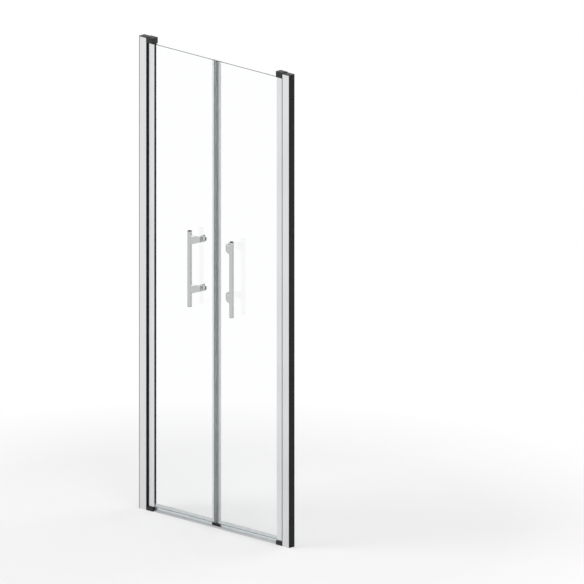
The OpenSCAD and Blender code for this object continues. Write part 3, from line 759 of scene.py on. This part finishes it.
def strip_section(side, s):
    """Section of a closing strip: a head with its chambers, and two arms whose soft tips lean on
    the glass."""
    low, high = reach(f"{side}_closing_strip")
    tip, edge, half, root = low[0], high[0], high[1], GLASS[0][0]
    face = GLASS[1][1] + 0.00002
    inner = GLASS[1][1] + s.strip_fit
    slope = inner + (half - inner) * 0.45
    arm = [(edge - 0.0012, half), (edge, slope), (edge, face), (edge - 0.0008, face),
           (edge - 0.002, inner), (root, inner)]
    round_arm = [0.0008, BEVEL, 0, 0, 0, 0.0004]
    head = outline([(tip, -half), *[(x, -y) for x, y in arm], *arm[::-1], (tip, half)],
                   [s.strip_wall, *round_arm, *round_arm[::-1], s.strip_wall], 4)
    return [head, *chambers(side, s)]


class SHOWERDOOR_OT_closing_strips(Operator):
    """Clear closing strips on the free edges of the glass, and the black feet under them"""

    bl_idname = "shower_door.closing_strips"
    bl_label = "Closing strips"

    def execute(self, context):
        s = context.scene.shower_door_sizes
        for side, sign in SIDES.items():
            low, high = reach(f"{side}_closing_strip")
            strip = prism(strip_section(side, s), low[2], high[2], (FIT, BEVEL), 2)
            piece = solid(f"closing_strip_{side}_lipped", [strip], sign)
            fit(piece, f"{side}_leaf", "clear_vinyl", f"{side}_closing_strip")
            top, wall, corner, sole_edge = low[2], s.strip_wall, 0.0006, 0.0012
            (tip, _, ground), (edge, half, pins) = reach(f"{side}_strip_foot")
            inner, root = GLASS[1][1] + s.strip_fit, GLASS[0][0] - s.strip_fit
            base = GLASS[0][2] - s.strip_fit
            sole = outline(slab(tip, edge, half), [wall, corner, corner, wall], 5)
            collar = outline([(tip, -half), (edge, -half), (edge, -inner), (root, -inner),
                              (root, inner), (edge, inner), (edge, half), (tip, half)],
                             [wall, corner, 0, 0, 0, 0, corner, wall], 5)
            foot = [prism([sole], ground, base, (sole_edge, 0.0), 4),
                    prism([collar], base - FIT, top, (0.0, FIT), 2)]
            for plan in chambers(side, s, s.strip_fit):
                foot.append(prism([plan], top - FIT, pins, (0.0, 0.0005), 2))
            piece = solid(f"strip_foot_{side}_moulded", foot, sign)
            fit(piece, f"{side}_leaf", "black_rubber", f"{side}_strip_foot")
        return {"FINISHED"}


class SHOWERDOOR_OT_drip_seals(Operator):
    """Clear drip seals on the lower edge of the glass, with two curved lips"""

    bl_idname = "shower_door.drip_seals"
    bl_label = "Drip seals"

    def execute(self, context):
        s = context.scene.shower_door_sizes
        (x0, _, z0), (x1, y1, z1) = DRIP
        base, seat = reach("right_bottom_bearing")[0][2], GLASS[0][2]
        inner, wall = GLASS[1][1] + s.strip_fit, y1 - GLASS[1][1] - s.strip_fit
        mouth, brow, ease = y1 - wall * 0.4, z1 - 0.002, 0.0002
        grip = outline(
            [(-y1, base), (y1, base), (y1, brow), (mouth, z1), (inner, z1), (inner, seat),
             (-inner, seat), (-inner, z1), (-mouth, z1), (-y1, brow)],
            [0.0008, 0.0008, 0.001, ease, ease, 0, 0, ease, ease, 0.001], 4)
        parts = [placed(prism([grip], x0, x1, (ease, ease), 2), ALONG_X)]
        # The middle of a lip bends out with the square of the way down, and the lip thins evenly.
        start, root_half, out, bend = base + 0.0004, 0.00075, 0.0012, 0.0018
        t = np.linspace(0, 1, 12)
        drop = start - (start - z0) * t
        middle = out + bend * t ** 2
        thick = root_half - (root_half - s.lip / 2) * t
        near, far = (np.stack([middle + way * thick, drop], -1) for way in (-1, 1))
        lip = np.concatenate([near, far[::-1]])
        for sign in (1.0, -1.0):
            blade = prism([facing(lip * (sign, 1.0))], x0, lip_end(), (0.0001, 0.0001), 1)
            parts.append(placed(blade, ALONG_X))
        for side, sign in SIDES.items():
            piece = solid(f"drip_seal_{side}_lipped", parts, sign)
            fit(piece, f"{side}_leaf", "clear_vinyl", f"{side}_drip_seal")
        return {"FINISHED"}


def lip_end():
    """Where a drip seal's lips stop, clear of the circle of the pivot block's corner."""
    clear = 0.001
    pivot = PROFILE[1][0] - PROFILE[1][1]
    return pivot - math.hypot(pivot - BLOCK_LOW[0][0], BLOCK_LOW[1][1]) - clear


class SHOWERDOOR_OT_handles(Operator):
    """Handles: bar, domed plugs, curved arms with round feet, and the rosettes on the inner face"""

    bl_idname = "shower_door.handles"
    bl_label = "Handles"

    def execute(self, context):
        s = context.scene.shower_door_sizes
        holes, roses = handle_holes(), rosettes(s)
        bar, plugs = bar_tube(s), bar_plugs(s)
        for side, sign in SIDES.items():
            leaf = f"{side}_leaf"
            piece = solid(f"handle_bar_{side}_tube", [bar], sign)
            fit(piece, leaf, "polished_metal", f"{side}_handle_bar")
            piece = solid(f"handle_plugs_{side}_domed", plugs, sign)
            fit(piece, leaf, "black_plastic", f"{side}_handle_plugs")
            piece = solid(f"rosettes_{side}_rounded", roses, sign)
            fit(piece, leaf, "polished_metal", f"{side}_rosettes")
            for name, (x, z) in zip(("lower", "upper"), holes):
                arm = solid(f"{name}_arm_{side}_curved", [arm_foot(s, x, z)], sign)
                joined(arm, solid("blade", [arm_blade(s, x, z)], sign))
                fit(arm, leaf, "polished_metal", f"{side}_{name}_arm")
        return {"FINISHED"}


def bar_tube(s):
    """Tube of a handle bar, with a small bevel at both ends."""
    (x, y, _), radius = bar_axis()
    low, high, bore = BAR[0][2], BAR[1][2], radius - s.bar_wall
    tube = [(radius, low + BEVEL), (radius - BEVEL, low), (bore, low),
            (bore, high), (radius - BEVEL, high), (radius, high - BEVEL)]
    return placed(turned(tube, True), ALONG_Z, (x, y, 0.0))


def bar_plugs(s):
    """Plugs in both ends of a handle bar. The head is part of a sphere whose radius is
    (bar radius squared + dome squared) / (2 * dome)."""
    (x, y, _), radius = bar_axis()
    low, high, bore = BAR[0][2], BAR[1][2], radius - s.bar_wall
    gap, rim_edge, depth, dome = 0.0001, 0.0004, 0.012, PLUGS[1][2] - BAR[1][2]
    sphere = (radius ** 2 + dome ** 2) / (2 * dome)
    a = np.linspace(0, math.asin((radius - rim_edge) / sphere), 14)
    head = np.stack([sphere * np.sin(a), dome - sphere * (1 - np.cos(a))], -1)
    stem = [(radius - gap, 0.0005), (radius - gap, gap), (radius - BEVEL, 0.0), (bore - gap, 0.0),
            (bore - gap, 0.001 - depth), (bore - 0.001, -depth), (0.0, -depth)]
    plug = turned(np.concatenate([head, stem]), False)
    return [placed(plug, ALONG_Z, (x, y, high)), placed(plug, DOWNWARDS, (x, y, low))]


def bar_axis():
    """Middle of a handle bar, and its radius."""
    return (BAR[0] + BAR[1]) / 2, min(BAR[1][:2] - BAR[0][:2]) / 2


def rosettes(s):
    """Two round rosettes, each with a rounded shoulder and the recess for the screw's head."""
    radius = (ROSETTES[1][0] - ROSETTES[0][0]) / 2
    deep, out, seat = ROSETTES[0][1], ROSETTES[1][1], ROSETTES[0][1] + 0.0035
    bore, bevel, rounding = 0.0027, 0.0006, 0.0018
    recess = [(s.screw_head + bevel, out), (s.screw_head, out - bevel),
              (s.screw_head, seat), (bore, seat)]
    ring = np.concatenate([[(bore, deep), (radius, deep)], shoulder(radius, out, rounding), recess])
    return [placed(turned(ring, True, 72), ALONG_Y, (x, 0.0, z)) for x, z in handle_holes()]


def arm_foot(s, x, z):
    """Round foot of an arm: a disc against the washer, with a small radius at its rim and a slightly
    raised middle, which the blade covers."""
    radius, thick, rounding = (ROSETTES[1][0] - ROSETTES[0][0]) / 2, s.foot_thickness, 0.0014
    disc = np.concatenate([[(0.0, 0.0), (radius - BEVEL, 0.0), (radius, BEVEL)],
                           shoulder(radius, thick, rounding), [(0.0, thick + FIT)]])
    return placed(turned(disc, False, 72), TO_FRONT, (x, ARM[1][1], z))


def arm_blade(s, x, z):
    """Blade of an arm. Its middle line leaves the foot square to the glass, turns a quarter circle
    and runs straight to the bar. At each step the section is a rectangle with rounded corners:
    a point's place is the sign of cos and sin of its angle times the inner half sides, plus the
    corner radius times cos and sin. The lower side slants from the foot's circle down to the bar."""
    lap, offset, into_bar = 0.001, 0.003, 0.0012
    axis = (BAR[0] + BAR[1]) / 2
    bar_radius = (BAR[1][0] - BAR[0][0]) / 2
    round_foot = (ROSETTES[1][0] - ROSETTES[0][0]) / 2 - lap
    half = s.arm_thickness / 2
    inner = ARM[1][1] - s.foot_thickness + lap
    radius = inner - axis[1]
    centre = np.array([x + radius - half + offset, inner])
    a = np.linspace(math.pi, 1.5 * math.pi, 26)
    arc = centre + radius * np.stack([np.cos(a), np.sin(a)], -1)
    end = np.linspace(arc[-1, 0], axis[0] - bar_radius + into_bar, 5)[1:]
    path = np.concatenate([arc, np.stack([end, np.full(4, axis[1])], -1)])
    normal = np.concatenate([-np.stack([np.cos(a), np.sin(a)], -1), np.tile([0.0, 1.0], (4, 1))])
    along = np.clip((path[:, 0] - x) / (axis[0] - x), 0, 1)
    top = np.full(len(path), round_foot)
    reach_out = math.hypot(axis[0] - x, s.arm_drop)
    touch = math.atan2(-s.arm_drop, axis[0] - x) - math.acos(round_foot / reach_out)
    tx, tz = round_foot * math.cos(touch), round_foot * math.sin(touch)
    slant = tz + (-s.arm_drop - tz) * (along * (axis[0] - x) - tx) / (axis[0] - x - tx)
    out = np.maximum(path[:, 0] - x, 0.0)
    low = np.minimum(slant, -np.sqrt(np.maximum(round_foot ** 2 - out ** 2, 0.0)))
    middle, tall = (top + low) / 2, (top - low) / 2
    t = np.linspace(0, 2 * math.pi, 48, endpoint=False) + math.pi / 48
    cos, sin = np.cos(t), np.sin(t)
    e = s.arm_edge
    across = np.sign(cos) * (half - e) + e * cos
    up = np.sign(sin) * (tall[:, None] - e) + e * sin + middle[:, None]
    flat = path[:, None] + normal[:, None] * across[None, :, None]
    return swept(np.concatenate([flat, (z + up)[..., None]], -1))


def joined(piece, other):
    """Unites two solids into one mesh and removes the second."""
    piece.modifiers.clear()
    union = piece.modifiers.new("union", "BOOLEAN")
    union.operation, union.solver, union.object = "UNION", "EXACT", other
    done = bpy.data.meshes.new_from_object(piece.evaluated_get(bpy.context.evaluated_depsgraph_get()))
    piece.modifiers.clear()
    old, piece.data = piece.data, done
    bpy.data.meshes.remove(old)
    bpy.data.objects.remove(other)
    work = bmesh.new()
    work.from_mesh(done)
    bmesh.ops.remove_doubles(work, verts=work.verts, dist=TINY)
    work.to_mesh(done)
    work.free()
    smoothed(piece, CREASE)


class SHOWERDOOR_OT_fittings(Operator):
    """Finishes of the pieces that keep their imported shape: posts, profiles, channels, tape, magnets,
    bearings, washers, bushes, pins, nuts and screws"""

    bl_idname = "shower_door.fittings"
    bl_label = "Profiles and fittings"

    def execute(self, context):
        for row in frame["record"]["subparts"]:
            node = frame["nodes"][row["node"]]
            if node.hide_render:
                continue
            for place in node.material_slots:
                place.material = material(place.material.name.split(".")[0])
        return {"FINISHED"}


class SHOWERDOOR_OT_studio(Operator):
    """Pale floor, soft lamps, white backdrop and the camera"""

    bl_idname = "shower_door.studio"
    bl_label = "Studio"

    def execute(self, context):
        scene = context.scene
        place_camera(scene)
        mesh = bpy.data.meshes.new("studio_floor")
        corners = [(x, y, FLOOR_LEVEL) for x, y in slab(-FLOOR_HALF, FLOOR_HALF, FLOOR_HALF)]
        mesh.from_pydata(corners, [], [(0, 1, 2, 3)])
        mesh.materials.append(material("studio_floor"))
        floor = bpy.data.objects.new("studio_floor", mesh)
        scene.collection.objects.link(floor)
        for name, place, wide, power in LAMPS:
            lamp(scene, name, place, wide, power)
        world = bpy.data.worlds.new("studio")
        world.use_nodes = True
        scene.world = world
        r = Recipe(world.node_tree)
        soft = r.node("ShaderNodeBackground", {}, {"Color": WHITE, "Strength": SOFT_LIGHT})
        white = r.node("ShaderNodeBackground", {}, {"Color": WHITE, "Strength": BACKDROP})
        both = r.node("ShaderNodeMixShader", {}, {0: seen(r), 1: soft, 2: white})
        r.node("ShaderNodeOutputWorld", {}, {"Surface": both})
        scene.view_settings.view_transform = "Standard"
        return {"FINISHED"}


def place_camera(scene):
    """Parallel view from the front right. The camera's own axes are right (cos a, sin a, 0), up
    (-sin a sin e, cos a sin e, cos e) and back, with a the turn and e the rise."""
    a, e = math.radians(VIEW_TURN), math.radians(VIEW_RISE)
    right = Vector((math.cos(a), math.sin(a), 0.0))
    back = Vector((math.sin(a) * math.cos(e), -math.cos(a) * math.cos(e), math.sin(e)))
    up = back.cross(right)
    data = bpy.data.cameras.new("camera")
    data.type, data.ortho_scale = "ORTHO", VIEW_WIDTH
    data.clip_start, data.clip_end = VIEW_CLIP
    camera = bpy.data.objects.new("camera", data)
    axes = Matrix((right, up, back)).transposed().to_4x4()
    place = right * VIEW_PLACE[0] + up * VIEW_PLACE[1] + back * VIEW_PLACE[2]
    camera.matrix_world = Matrix.Translation(place) @ axes
    scene.collection.objects.link(camera)
    scene.camera = camera


def lamp(scene, name, place, wide, power):
    """Square soft lamp that looks at the middle of the door. Its size is in metres and its power in
    watts."""
    data = bpy.data.lights.new(name, "AREA")
    data.size, data.energy = wide, power
    made = bpy.data.objects.new(name, data)
    made.location = place
    sight = Vector(LAMPS_LOOK_AT) - Vector(place)
    made.rotation_euler = sight.to_track_quat("-Z", "Y").to_euler()
    scene.collection.objects.link(made)


class SHOWERDOOR_PT_panel(Panel):
    """Sizes, colours and steps of the shower door"""

    bl_idname = "SHOWERDOOR_PT_panel"
    bl_label = "Shower door"
    bl_space_type = "VIEW_3D"
    bl_region_type = "UI"
    bl_category = "Shower door"

    def draw(self, context):
        for step in STEPS:
            self.layout.operator(step.bl_idname)
        for group in (context.scene.shower_door_sizes, context.scene.shower_door_colours):
            box = self.layout.box()
            for name in group.bl_rna.properties.keys():
                if name not in ("rna_type", "name"):
                    box.prop(group, name)


STEPS = (
    SHOWERDOOR_OT_sill, SHOWERDOOR_OT_post_caps, SHOWERDOOR_OT_pivot_blocks,
    SHOWERDOOR_OT_post_seals, SHOWERDOOR_OT_glass, SHOWERDOOR_OT_gaskets,
    SHOWERDOOR_OT_closing_strips, SHOWERDOOR_OT_drip_seals, SHOWERDOOR_OT_handles,
    SHOWERDOOR_OT_fittings, SHOWERDOOR_OT_studio,
)
CLASSES = (ShowerDoorSizes, ShowerDoorColours, *STEPS, SHOWERDOOR_PT_panel)


def register():
    for cls in CLASSES:
        bpy.utils.register_class(cls)
    bpy.types.Scene.shower_door_sizes = PointerProperty(type=ShowerDoorSizes)
    bpy.types.Scene.shower_door_colours = PointerProperty(type=ShowerDoorColours)


def unregister():
    del bpy.types.Scene.shower_door_colours
    del bpy.types.Scene.shower_door_sizes
    for cls in reversed(CLASSES):
        bpy.utils.unregister_class(cls)


def main():
    """Builds every piece and the studio."""
    register()
    for step in STEPS:
        group, name = step.bl_idname.split(".")
        getattr(getattr(bpy.ops, group), name)()


if __name__ == "__main__":
    main()
